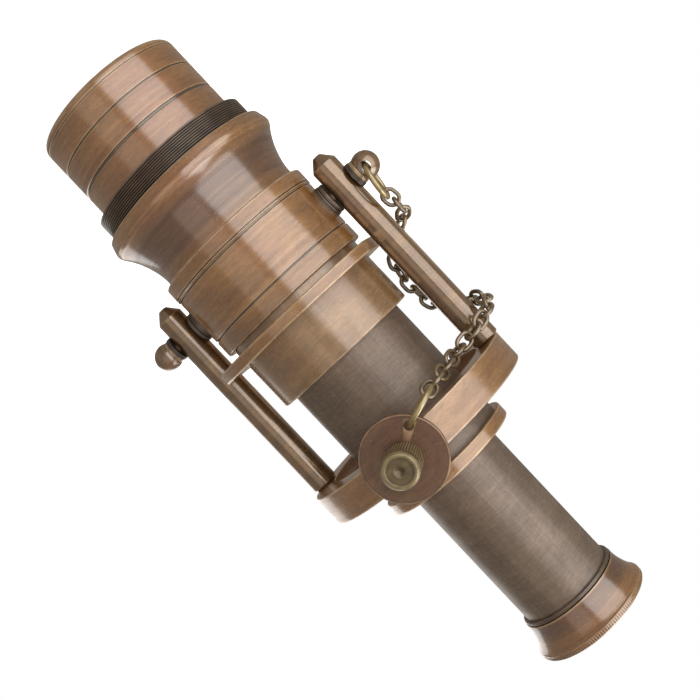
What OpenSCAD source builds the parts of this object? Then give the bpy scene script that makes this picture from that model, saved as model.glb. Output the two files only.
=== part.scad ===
// Brass hand telescope in a swinging yoke: two draw tubes, a capped objective, and a ring on two rods
// that pivots on ball-headed screws. It stands on the flat face of the objective cap, +Z to the eyepiece.

/* [Telescope] */
// Outer radius of the main barrel, which the other tube radii follow
barrel_r = 18.7; // [15.6:0.1:22.5]
// Length of the objective cap
cap_len = 19.3; // [15:0.1:24]
// Length of the threaded ring behind the cap
ring_len = 4.7; // [3.8:0.1:6]
// Length of the bell-shaped collar
collar_len = 14.7; // [13:0.1:18]
// Length of the main barrel
barrel_len = 19; // [17:0.1:24]
// Length of the sleeve behind the guide plate
sleeve_len = 11.6; // [9:0.1:16]
// Length of the outer draw tube that shows when drawn out
outer_draw = 29.9; // [24:0.1:36]
// Length of the inner draw tube that shows when drawn out
inner_draw = 35.6; // [28:0.1:43]
// Length of the eyecup
eyecup_len = 7.9; // [6.5:0.1:10]

/* [Guide plate] */
// Thickness of the guide plate
plate_t = 2.5; // [1.5:0.1:4]
// Gap between the main barrel and the guide plate
plate_gap = 1.7; // [1:0.1:3]
// How far the guide plate stands out from the barrel
plate_lip = 4.75; // [3:0.05:6]

/* [Yoke] */
// Radius of the two yoke rods
rod_r = 3; // [2.4:0.1:3.6]
// Width of the ring band
band_w = 7; // [5.5:0.1:8.5]
// Radial thickness of the ring band
band_t = 5.5; // [4.5:0.1:6.6]
// Distance from the pivot screws to the end of the main barrel
pivot_back = 9.6; // [8:0.1:11.5]
// Distance from the pivot screws to the rods' pointed tips
tip_lead = 8.3; // [7:0.1:10]
// Radius of the ball heads
ball_r = 3.1; // [2.6:0.1:3.7]

/* [Disc and chain] */
// Radius of the cover disc on the band
disc_r = 8.8; // [7.3:0.1:10.6]
// Thickness of the cover disc
disc_t = 1.2; // [0.8:0.1:2]
// Radius of the thumb screw's head
thumb_r = 3.75; // [3:0.05:4.5]
// Height of the thumb screw's head
thumb_h = 8.2; // [6:0.1:10]
// Wire diameter of the two jump rings
ring_wire = 1.2; // [1:0.05:1.3]
// Wire diameter of the chain links
link_wire = 0.9; // [0.75:0.05:0.95]

/* [Fits] */
// Radial clearance of the sliding tubes and the cap
slide_gap = 0.1; // [0.05:0.01:0.15]
// Radial clearance of the turning pins
pin_gap = 0.05; // [0.03:0.01:0.1]
// Gap left between faces that meet at a stop
stop_gap = 0.1; // [0.05:0.01:0.3]

/* [Hidden] */
$fn = 96;

// Stations along the axis, each counted from the one before
z_ring = cap_len;
z_collar = z_ring + ring_len;
z_barrel = z_collar + collar_len;
z_barrel_end = z_barrel + barrel_len;
z_plate = z_barrel_end + plate_gap;
z_plate_end = z_plate + plate_t;
z_sleeve_end = z_plate_end + sleeve_len;
z_flange = z_sleeve_end + outer_draw;
flange_len = 2.9;
z_flange_end = z_flange + flange_len;
z_bead = z_flange_end + inner_draw;
bead_len = 1;
z_cup = z_bead + bead_len;
z_end = z_cup + eyecup_len;

// Tube radii, stepped in from the barrel
rim_r = barrel_r + 0.2;
sleeve_r = barrel_r - 1.45;
bore_r = barrel_r - 3;
outer_tube_r = barrel_r - 4.2;
outer_bore_r = outer_tube_r - 1.1;
inner_tube_r = barrel_r - 7.7;
inner_bore_r = inner_tube_r - 1;
flange_r = outer_tube_r + 1.55;
cap_r = barrel_r - 1.2;
cap_wall = 1.4;
snout_r = cap_r - cap_wall - slide_gap;
snout_bore_r = snout_r - 1.4;
thread_r = barrel_r + 0.8;
spigot_r = barrel_r - 1.7;
collar_r = barrel_r + 2.8;
neck_r = barrel_r - 1.25;

// Lens cell
lip_r = snout_bore_r - 1.2;
snout_lead = 0.6;
cap_floor = 1.8;
lens_z = cap_floor + 6.4;
crown_t = 3.8;
flint_t = 2;
crown_sag = 1.34;
cell_deep = 7;

// Stops and bearings of the draw tubes
stop_len = 2.3;
sleeve_deep = 5.8;
z_sleeve = z_barrel_end - sleeve_deep;
z_stop = z_sleeve - stop_gap - stop_len;
spigot_len = 5.3;
bush_len = 9;
end_step = 1.6;
z_bush = z_flange + end_step - bush_len;
z_inner_stop = z_bush - stop_gap - stop_len;
z_inner = z_inner_stop - 1.4;

// Eyepiece
cup_bore_r = inner_tube_r - 6;
cup_rim_r = inner_tube_r + 3;
cup_root_r = inner_tube_r + 0.95;
cup_rim_len = 1.6;
eye_lens_r = inner_bore_r - 3;
eye_lens_t = 3;
eye_lens_sag = 1.1;
field_lens_t = 3;
field_lens_sag = 1.1;
erector_t = 3;
erector_sag = 0.9;
cup_spigot = 2.3;
bead_r = inner_tube_r + 0.8;

// Yoke
rod_gap = 0.3;
boss_len = 1.8;
boss_r = 3.7;
rod_x = barrel_r + boss_len + stop_gap + rod_r;
z_pivot = z_barrel_end - pivot_back;
z_tip = z_pivot - tip_lead;
tip_len = 2.4;
tip_r = rod_r / 3;
z_band = z_flange - band_w - 4.5;
z_disc = z_band + band_w / 2;
band_r = rod_x + 2.4;
band_bore_r = band_r - band_t;
seat_y = band_r - 0.4;
flat_x = rod_x - rod_r - rod_gap;
plate_r = barrel_r + plate_lip;
tenon_r = 1.5;
tenon_len = 4;
pin_r = 1.25;
pin_end = 2.4;
washer_t = 0.9;
washer_r = 2.9;
ball_collar_r = 2.75;
ball_x = rod_x + rod_r + ball_r + 0.2;
collar_x = rod_x + rod_r + washer_t;
edge = 0.35;
big = 60;

// Disc, thumb screw and jump rings
screw_r = 1.5;
disc_y = seat_y + disc_t;
thumb_y = disc_y + thumb_h;
hole_r = 1.05;
hole_out = disc_r - 2;
hole_clear = 0.78;
hole_angle = 180 + asin((band_w / 2 + hole_clear) / hole_out);
disc_hole = [hole_out * cos(hole_angle), -seat_y - disc_t / 2, z_disc + hole_out * sin(hole_angle)];
jump_r = 4.1;
ring_shift = -0.25;
ring_bow = jump_r - sqrt(jump_r * jump_r - ball_r * ball_r);
ball_hole_r = (ring_wire + ring_bow) / 2;
ball_hole_shift = ring_shift + ring_bow / 2;
knob_ring_dir = [sin(8), 0, cos(8)];
disc_ring_dir = unit([-0.92, 0.22, -0.3]);
knob_ring_at = [-ball_x, 0, z_pivot] + (jump_r + ring_shift) * knob_ring_dir;
disc_ring_at = disc_hole + jump_r * disc_ring_dir;

// Chain: a link's ends pass its neighbour's by half a wire and a little slack
link_pitch = 2.9;
link_half_w = 1.45;
link_lap = link_wire / 2 + 0.1;
link_side_wire = link_wire + 0.04;
link_side_over = 0.1;
jump_lap = ring_wire / 2 + 0.1;
disc_ring_turn = 42;
disc_ring_side = unit([0, 1, 0] - disc_ring_dir * disc_ring_dir[1]);
disc_ring_out = disc_ring_dir * cos(disc_ring_turn) + disc_ring_side * sin(disc_ring_turn);
chain_stop = disc_ring_at + (jump_r - jump_lap) * disc_ring_out;
// Route of the chain, as places beside the left rod: [out from its axis, behind it, height]
beside_rod = [
    [5.6, 2, z_plate - 1.8], [5.5, 3.9, z_plate + 0.4], [4, 5.9, z_plate + 1.8],
    [0.6, 6.7, z_plate_end + 0.8], [-2.0, 6.1, z_plate_end + 2.4], [-3.8, 5.3, z_plate_end + 4.8],
    [-4.4, 4.7, z_plate_end + 8], [-4.4, 4.6, z_sleeve_end + 2], [-3.6, 5.1, z_band - 13],
    [-1.6, 5.8, z_band - 10.9], [1.2, 5.9, z_band - 9.3], [3.9, 4.6, z_band - 7.9],
    [5.5, 2, z_band - 6.8], [5.6, -1.2, z_band - 5.8], [4.2, -4.2, z_band - 5],
    [1.6, -6, z_band - 4.3], [-1.4, -6.7, z_band - 3.8], [-4, -8.3, z_band - 3.5],
    [-6, -11.2, z_band - 3.2], [-8, -15, z_band - 3], [-9.2, -18, z_band - 2.9]
];
beside = [for (p = beside_rod) [-rod_x - p[0], p[1], p[2]]];
knob_ring_turn = 20;
knob_ring_out = knob_ring_dir * cos(knob_ring_turn) + [0, 1, 0] * sin(knob_ring_turn);
chain_start = knob_ring_at + (jump_r - jump_lap) * knob_ring_out;
chain_route = concat([chain_start], beside, [chain_stop]);
link_count = ceil(route_length(chain_route, len(chain_route) - 1) / link_pitch);
link_step = route_length(chain_route, len(chain_route) - 1) / link_count;
link_ends = [for (i = [0:link_count]) along(chain_route, i * link_step)];
link_twist = 4;

// Colours of the aged brass and the glass
brass = [0.55, 0.42, 0.31];
dark_brass = [0.30, 0.24, 0.19];
gunmetal = [0.45, 0.40, 0.37];
rod_brass = [0.56, 0.38, 0.24];
bright_brass = [0.64, 0.55, 0.32];
lens_tint = [0.75, 0.87, 0.90, 0.5];

function unit(v) = v / norm(v);
function route_length(pts, last) = last == 0 ? 0
    : norm(pts[last] - pts[last - 1]) + route_length(pts, last - 1);
// The place at a distance along a route
function along(pts, want, i = 0) =
    let (span = norm(pts[i + 1] - pts[i]))
    want <= span || i + 2 >= len(pts)
        ? pts[i] + (pts[i + 1] - pts[i]) * min(1, want / span)
        : along(pts, want - span, i + 1);
// The points of an arc in the [radius, height] plane
function arc(cx, cz, r, from, to, steps = 12) =
    [for (i = [0:steps]) let (a = from + (to - from) * i / steps) [cx + r * cos(a), cz + r * sin(a)]];
// A side direction for link i, carried along the chain without twisting
function side_of(i) =
    let (t = unit(link_ends[i + 1] - link_ends[i]))
    let (before = i == 0 ? [1, 0, 0] : side_of(i - 1))
    unit(before - t * (before * t));

// A turned tube between two heights, with small bevels on its outer edges
module tube(r_out, r_in, z0, z1, bevel = 0) {
    rotate_extrude()
        polygon([
            [r_in, z0], [r_out - bevel, z0], [r_out, z0 + bevel],
            [r_out, z1 - bevel], [r_out - bevel, z1], [r_in, z1]
        ]);
}

// A groove cut around a turned surface
module groove(r, z, width, depth) {
    tube(r + 1, r - depth, z - width / 2, z + width / 2);
}

// A shaft along X from one station to another
module shaft_x(r, x0, x1, y = 0, z = 0) {
    translate([min(x0, x1), y, z])
        rotate([0, 90, 0])
            cylinder(r = r, h = abs(x1 - x0));
}

// A shaft along Y from one station to another
module shaft_y(r, y0, y1, x = 0, z = 0) {
    translate([x, max(y0, y1), z])
        rotate([90, 0, 0])
            cylinder(r = r, h = abs(y1 - y0));
}

// Radius of curvature of a face of radius r that bulges by sag
function curve_of(r, sag) = (r * r + sag * sag) / (2 * sag);
// How far a face that bulges by sag over radius r falls away at a distance x from its middle
function fall(r, sag, x) = let (curve = curve_of(r, sag)) curve - sqrt(curve * curve - x * x);
// The bulging face of a lens as [radius, height] points, from its middle out to its rim
function dome(r, z, sag, steps = 10) =
    [for (i = [0:steps]) let (x = r * i / steps) [x, z + fall(r, sag, x)]];

// A round lens: its lower face bulges down from z0, its upper one bulges up to z0 + t or is flat
module lens(r, z0, t, sag, both = true) {
    below = dome(r, z0, sag);
    above = [for (p = dome(r, 0, sag)) [p[0], z0 + t - (both ? p[1] : 0)]];
    rotate_extrude()
        polygon(concat(below, [for (i = [len(above) - 1:-1:0]) above[i]]));
}

module objective_cap() {
    color(brass)
        difference() {
            rotate_extrude()
                polygon(concat(
                    [[0, 0]],
                    arc(cap_r - 1.4, 1.4, 1.4, -90, 0),
                    [[cap_r, z_ring - stop_gap], [cap_r - cap_wall, z_ring - stop_gap]],
                    [[cap_r - cap_wall, cap_floor], [0, cap_floor]]
                ));
            groove(cap_r, 1.9, 0.25, 0.15);
            groove(cap_r, cap_len * 0.37, 0.45, 0.25);
            groove(cap_r, cap_len * 0.69, 0.9, 0.3);
        }
}

module objective_cell() {
    color(dark_brass)
        rotate_extrude()
            polygon([
                [snout_bore_r, cap_floor + snout_lead], [snout_r, cap_floor + snout_lead],
                [snout_r, z_ring], [spigot_r, z_ring], [spigot_r, z_collar + cell_deep],
                [bore_r, z_collar + cell_deep], [bore_r, z_ring], [snout_bore_r, z_ring],
                [snout_bore_r, lens_z + crown_t + flint_t + 1.4], [lip_r, lens_z + crown_t + flint_t + 1.4],
                [lip_r, lens_z + crown_t + flint_t], [snout_bore_r, lens_z + crown_t + flint_t]
            ]);
}

module thread_ring() {
    turns = 6;
    pitch = (ring_len - 0.6) / turns;
    color(dark_brass)
        difference() {
            tube(thread_r, spigot_r, z_ring, z_collar);
            for (i = [0:turns - 1])
                groove(thread_r, z_ring + 0.3 + pitch * (i + 0.5), pitch * 0.4, 0.2);
        }
}

module crown_lens() {
    color(lens_tint)
        lens(snout_bore_r, lens_z, crown_t, crown_sag);
}

module flint_lens() {
    hollow = [for (p = dome(snout_bore_r, 0, crown_sag)) [p[0], lens_z + crown_t - p[1]]];
    color(lens_tint)
        rotate_extrude()
            polygon(concat(hollow, [
                [snout_bore_r, lens_z + crown_t + flint_t], [0, lens_z + crown_t + flint_t]
            ]));
}

module lens_retaining_ring() {
    color(dark_brass)
        tube(snout_bore_r, lip_r, lens_z - 1.8, lens_z + fall(snout_bore_r, crown_sag, lip_r));
}

module objective_collar() {
    ridge_z = z_collar + 2.9;
    cove = 15.2;
    cove_z = z_barrel - 1.2;
    top = acos((cove - (collar_r - 0.35 - neck_r)) / cove);
    color(brass)
        rotate_extrude()
            polygon(concat(
                [[spigot_r, z_collar], [collar_r - 0.6, z_collar], [collar_r, ridge_z - 0.7]],
                [[collar_r, ridge_z - 0.15], [collar_r - 0.35, cove_z - cove * sin(top)]],
                arc(neck_r + cove, cove_z, cove, 180 + top, 180, 16),
                [[neck_r, z_barrel], [spigot_r, z_barrel], [spigot_r, z_barrel + spigot_len]],
                [[bore_r, z_barrel + spigot_len], [bore_r, z_collar + cell_deep]],
                [[spigot_r, z_collar + cell_deep]]
            ));
}

module main_barrel() {
    pin_bore = bore_r + 0.4;
    color(brass)
        difference() {
            rotate_extrude()
                polygon([
                    [spigot_r, z_barrel], [rim_r - edge, z_barrel], [rim_r, z_barrel + edge],
                    [rim_r, z_barrel + 3.4], [barrel_r, z_barrel + 3.6], [barrel_r, z_barrel_end - edge],
                    [barrel_r - edge, z_barrel_end], [sleeve_r, z_barrel_end], [sleeve_r, z_sleeve],
                    [bore_r, z_sleeve], [bore_r, z_barrel + spigot_len], [spigot_r, z_barrel + spigot_len]
                ]);
            groove(rim_r, z_barrel + 3.1, 0.3, 0.35);
            groove(rim_r, z_barrel + 3.9, 0.3, 0.45);
            groove(barrel_r, z_barrel_end - 4, 0.5, 0.3);
            for (side = [-1, 1])
                shaft_x(pin_r + pin_gap, side * pin_bore, side * (barrel_r + 2), 0, z_pivot);
        }
}

module barrel_sleeve() {
    color(brass)
        tube(sleeve_r, outer_tube_r + slide_gap, z_sleeve, z_sleeve_end, edge);
}

module guide_plate() {
    color(brass)
        difference() {
            tube(plate_r, sleeve_r, z_plate, z_plate_end, 0.25);
            for (side = [-1, 1])
                translate([side * (flat_x + big / 2), 0, z_plate + plate_t / 2])
                    cube([big, 2 * big, plate_t + 2], center = true);
        }
}

// A round boss between the barrel and a rod, drilled for the pivot pin
module pivot_boss(side) {
    difference() {
        shaft_x(boss_r, side * (barrel_r - 1), side * (barrel_r + boss_len), 0, z_pivot);
        translate([0, 0, z_barrel + 1])
            cylinder(r = barrel_r, h = barrel_len);
        shaft_x(pin_r + pin_gap, side * bore_r, side * (barrel_r + boss_len + 1), 0, z_pivot);
    }
}

module pivot_boss_left() {
    color(dark_brass)
        pivot_boss(-1);
}

module pivot_boss_right() {
    color(dark_brass)
        pivot_boss(1);
}

module outer_draw_tube() {
    color(gunmetal)
        tube(outer_tube_r, outer_bore_r, z_stop, z_flange + end_step);
}

module outer_stop_ring() {
    color(dark_brass)
        tube(bore_r - 0.2, outer_tube_r, z_stop, z_stop + stop_len);
}

module draw_bush() {
    color(brass)
        tube(outer_bore_r, inner_tube_r + slide_gap, z_bush, z_flange + end_step);
}

module tube_collar() {
    color(brass)
        rotate_extrude()
            polygon([
                [outer_tube_r, z_flange], [flange_r - edge, z_flange], [flange_r, z_flange + edge],
                [flange_r, z_flange_end - edge], [flange_r - edge, z_flange_end],
                [inner_tube_r + slide_gap, z_flange_end], [inner_tube_r + slide_gap, z_flange + end_step],
                [outer_tube_r, z_flange + end_step]
            ]);
}

module inner_draw_tube() {
    color(gunmetal)
        tube(inner_tube_r, inner_bore_r, z_inner, z_cup);
}

module inner_stop_ring() {
    color(dark_brass)
        tube(outer_bore_r - slide_gap, inner_tube_r, z_inner_stop, z_inner_stop + stop_len);
}

module erector_cell() {
    color(dark_brass)
        difference() {
            tube(inner_bore_r, inner_bore_r - 3, z_inner + 1, z_inner + 9);
            translate([0, 0, z_inner + 3])
                cylinder(r = inner_bore_r - 1.6, h = 7);
        }
}

module erector_lens() {
    color(lens_tint)
        lens(inner_bore_r - 1.6, z_inner + 3, erector_t, erector_sag);
}

module field_lens() {
    color(lens_tint)
        lens(inner_bore_r, z_bead - 18, field_lens_t, field_lens_sag, false);
}

module eyepiece_spacer() {
    color(dark_brass)
        tube(inner_bore_r, inner_bore_r - 0.8, z_bead - 15, z_cup - cup_spigot - 0.2);
}

module eyepiece_bead() {
    color(dark_brass)
        rotate_extrude()
            polygon(concat(
                [[inner_tube_r, z_bead]],
                arc(inner_tube_r + 0.3, z_bead + bead_len / 2, bead_len / 2, -90, 90),
                [[inner_tube_r, z_cup]]
            ));
}

module eyecup() {
    flare_z = z_end - cup_rim_len;
    flare = eyecup_len - cup_rim_len - 0.6;
    rise = cup_rim_r - 0.25 - cup_root_r;
    cove = (rise * rise + flare * flare) / (2 * rise);
    sweep = asin(flare / cove);
    lens_top = z_cup + 1;
    color(brass)
        rotate_extrude()
            polygon(concat(
                [[eye_lens_r, z_cup - cup_spigot], [inner_bore_r - pin_gap, z_cup - cup_spigot]],
                [[inner_bore_r - pin_gap, z_cup + 0.05], [cup_root_r, z_cup + 0.05]],
                arc(cup_root_r + cove, flare_z - flare, cove, 180, 180 - sweep, 14),
                [[cup_rim_r, flare_z + 0.2], [cup_rim_r, z_end - 0.3], [cup_rim_r - 0.3, z_end]],
                [[cup_rim_r - 2.2, z_end], [cup_bore_r, lens_top + 1.4], [cup_bore_r, lens_top]],
                [[eye_lens_r, lens_top]]
            ));
}

module eye_lens() {
    color(lens_tint)
        lens(eye_lens_r, z_cup - 2, eye_lens_t, eye_lens_sag);
}

module band_ring() {
    color(brass)
        difference() {
            tube(band_r, band_bore_r, z_band, z_band + band_w, 0.2);
            translate([0, -seat_y - big / 2, z_disc])
                cube([big, big, band_w + 2], center = true);
            for (side = [-1, 1])
                translate([side * rod_x, 0, z_band - 1])
                    cylinder(r = tenon_r, h = tenon_len + 1);
            shaft_y(screw_r + pin_gap, 0, -band_r, 0, z_disc);
        }
}

// A rod with a pointed tip, a cross hole for the pivot pin and a tenon that enters the band
module yoke_rod(side, hole) {
    translate([side * rod_x, 0, 0])
        difference() {
            rotate_extrude()
                polygon([
                    [0, z_tip], [tip_r, z_tip], [rod_r, z_tip + tip_len], [rod_r, z_band - 0.5],
                    [rod_r - 0.5, z_band], [tenon_r, z_band], [tenon_r, z_band + tenon_len],
                    [0, z_band + tenon_len]
                ]);
            shaft_x(hole, -rod_r - 1, rod_r + 1, 0, z_pivot);
        }
}

module yoke_rod_left() {
    color(rod_brass)
        yoke_rod(-1, pin_r);
}

module yoke_rod_right() {
    color(rod_brass)
        yoke_rod(1, pin_r + pin_gap);
}

// A pivot screw: its pin, its collar and its ball head
module ball_screw(side) {
    shaft_x(pin_r, side * (barrel_r - pin_end), side * ball_x, 0, z_pivot);
    shaft_x(ball_collar_r, side * collar_x, side * (collar_x + 0.8), 0, z_pivot);
    difference() {
        translate([side * ball_x, 0, z_pivot])
            sphere(r = ball_r);
        shaft_x(big, 0, side * collar_x, 0, z_pivot);
    }
}

module drilled_ball_screw() {
    at = [-ball_x, 0, z_pivot] + ball_hole_shift * knob_ring_dir;
    color(brass)
        difference() {
            ball_screw(-1);
            shaft_y(ball_hole_r, -big / 2, big / 2, at[0], at[2]);
        }
}

module plain_ball_screw() {
    color(brass)
        ball_screw(1);
}

// A washer between a rod and its ball
module ball_washer(side, hole) {
    difference() {
        shaft_x(washer_r, side * (rod_x + rod_r), side * collar_x, 0, z_pivot);
        shaft_x(hole, side * rod_x, side * (collar_x + 1), 0, z_pivot);
    }
}

module ball_washer_left() {
    color(dark_brass)
        ball_washer(-1, pin_r);
}

module ball_washer_right() {
    color(dark_brass)
        ball_washer(1, pin_r + pin_gap);
}

module cover_disc() {
    color(rod_brass)
        difference() {
            shaft_y(disc_r, -seat_y, -disc_y, 0, z_disc);
            shaft_y(screw_r + pin_gap, -seat_y + 1, -disc_y - 1, 0, z_disc);
            shaft_y(hole_r, -seat_y + 1, -disc_y - 1, disc_hole[0], disc_hole[2]);
        }
}

module thumb_screw() {
    tip_y = band_bore_r + 0.5;
    color(bright_brass)
        difference() {
            union() {
                shaft_y(screw_r, -tip_y, -disc_y - 1, 0, z_disc);
                translate([0, -disc_y - stop_gap, z_disc])
                    rotate([90, 0, 0])
                        rotate_extrude()
                            polygon([
                                [0, 0], [thumb_r - 0.3, 0], [thumb_r, 0.3], [thumb_r, thumb_h - 0.6],
                                [thumb_r - 0.5, thumb_h - stop_gap], [0, thumb_h - stop_gap]
                            ]);
            }
            translate([0, -thumb_y - 0.1, z_disc])
                rotate([-90, 0, 0])
                    cylinder(r1 = 1.2, r2 = 0.2, h = 0.8);
        }
}

// Moves its children to a place, their X and Y turned to two directions at right angles
module set_along(at, across, along) {
    normal = cross(across, along);
    multmatrix([
        [across[0], along[0], normal[0], at[0]],
        [across[1], along[1], normal[1], at[1]],
        [across[2], along[2], normal[2], at[2]]
    ])
        children();
}

// A jump ring that lies in the plane of Y and a given direction
module jump_ring(at, dir) {
    set_along(at, dir, unit([0, 1, 0] - dir * dir[1]))
        rotate_extrude()
            translate([jump_r, 0])
                circle(d = ring_wire);
}

module disc_jump_ring() {
    color(bright_brass)
        jump_ring(disc_ring_at, disc_ring_dir);
}

module knob_jump_ring() {
    color(bright_brass)
        jump_ring(knob_ring_at, knob_ring_dir);
}

// One oval link around the origin, its length along Y
module link(step) {
    straight = step / 2 + link_lap - link_half_w;
    for (turn = [0, 180])
        rotate([0, 0, turn])
            translate([0, straight, 0])
                rotate_extrude(angle = 180)
                    translate([link_half_w, 0])
                        circle(d = link_wire);
    for (side = [-1, 1])
        shaft_y(link_side_wire / 2, -straight - link_side_over, straight + link_side_over, side * link_half_w);
}

module chain() {
    color(dark_brass)
        for (i = [0:link_count - 1]) {
            a = link_ends[i];
            b = link_ends[i + 1];
            t = unit(b - a);
            s = side_of(i);
            turn = (90 + link_twist) * i;
            set_along((a + b) / 2, s * cos(turn) + cross(t, s) * sin(turn), t)
                link(norm(b - a));
        }
}

objective_cap();
objective_cell();
thread_ring();
crown_lens();
flint_lens();
lens_retaining_ring();
objective_collar();
main_barrel();
barrel_sleeve();
guide_plate();
pivot_boss_left();
pivot_boss_right();
outer_draw_tube();
outer_stop_ring();
draw_bush();
tube_collar();
inner_draw_tube();
inner_stop_ring();
erector_cell();
erector_lens();
field_lens();
eyepiece_spacer();
eyepiece_bead();
eyecup();
eye_lens();
band_ring();
yoke_rod_left();
yoke_rod_right();
drilled_ball_screw();
plain_ball_screw();
ball_washer_left();
ball_washer_right();
cover_disc();
thumb_screw();
disc_jump_ring();
knob_jump_ring();
chain();
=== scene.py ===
"""Brass draw-tube telescope in a swinging yoke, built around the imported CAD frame.

Every piece sits in the CAD's own frame, in metres, with +Z running from the objective cap to the eyecup.
"""

import logging
import math
from dataclasses import dataclass, field, replace
from enum import Enum
from typing import Iterable

import bmesh
import bpy
import numpy as np
from mathutils import Matrix, Vector


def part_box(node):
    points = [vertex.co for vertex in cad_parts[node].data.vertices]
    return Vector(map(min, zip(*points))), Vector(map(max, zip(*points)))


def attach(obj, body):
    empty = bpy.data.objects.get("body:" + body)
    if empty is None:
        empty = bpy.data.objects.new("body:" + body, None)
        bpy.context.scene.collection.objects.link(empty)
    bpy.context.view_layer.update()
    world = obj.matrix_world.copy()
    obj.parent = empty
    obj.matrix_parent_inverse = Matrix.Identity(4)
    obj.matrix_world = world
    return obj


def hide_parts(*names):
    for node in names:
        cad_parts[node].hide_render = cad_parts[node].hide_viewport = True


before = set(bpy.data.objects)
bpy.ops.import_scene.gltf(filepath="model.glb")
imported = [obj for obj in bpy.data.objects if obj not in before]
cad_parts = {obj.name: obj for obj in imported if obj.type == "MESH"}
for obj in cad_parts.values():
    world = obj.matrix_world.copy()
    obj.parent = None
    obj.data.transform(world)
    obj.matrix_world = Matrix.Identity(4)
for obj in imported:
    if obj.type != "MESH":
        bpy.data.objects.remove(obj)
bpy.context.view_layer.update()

log = logging.getLogger("telescope")
logging.basicConfig(level=logging.INFO, format="%(name)s: %(message)s")

# One millimetre in metres, facets around a turned piece, and the flat beside each rounded corner in millimetres
MM = 0.001
FINE = 192
HOLD = 0.22
# Bends that count as corners for wear and dirt, in radians: the least, and the one that counts in full
LEAST_BEND = 0.13
FULL_BEND = 0.45
SHARP_DEGREES = 48
FACE_WEIGHT = 80
# How deep the tool lines and scratches look, and how strongly the oxide skin reflects
BUMP_STRENGTH = 0.32
BUMP_DISTANCE = 0.06 * MM
SKIN_IOR = 2.3
SCRATCH_TINT = 0.3
SCRATCH_DEPTH = 0.35
SCRATCH_LOSS = 0.4

Corner = tuple[float, ...]
Colour = tuple[float, float, float, float]
Socket = bpy.types.NodeSocket
Piece = bpy.types.Object
Solid = bmesh.types.BMesh
BLACK = (0.0, 0.0, 0.0, 1.0)
WHITE = (1.0, 1.0, 1.0, 1.0)


def tone(red: int, green: int, blue: int) -> Colour:
    """A paint-chart colour as linear light.

    Args:
        red: Red, from 0 to 255.
        green: Green, from 0 to 255.
        blue: Blue, from 0 to 255.

    Returns:
        Linear red, green and blue with full alpha.
    """
    parts = [c / 255 for c in (red, green, blue)]
    linear = [c / 12.92 if c <= 0.04045 else ((c + 0.055) / 1.055) ** 2.4 for c in parts]
    return (linear[0], linear[1], linear[2], 1.0)


# ---------------------------------------------------------------------------------------------
# Finishes
# ---------------------------------------------------------------------------------------------


class Lines(Enum):
    """Which way the tool left its lines on a metal."""

    TURNED = "turned"
    DRAWN = "drawn"
    CAST = "cast"


COLOURS = ("metal", "tarnish", "blush", "bright", "grime")
LINE_GROUPS = {Lines.TURNED: "tool lines", Lines.DRAWN: "drawn lines"}


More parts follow.
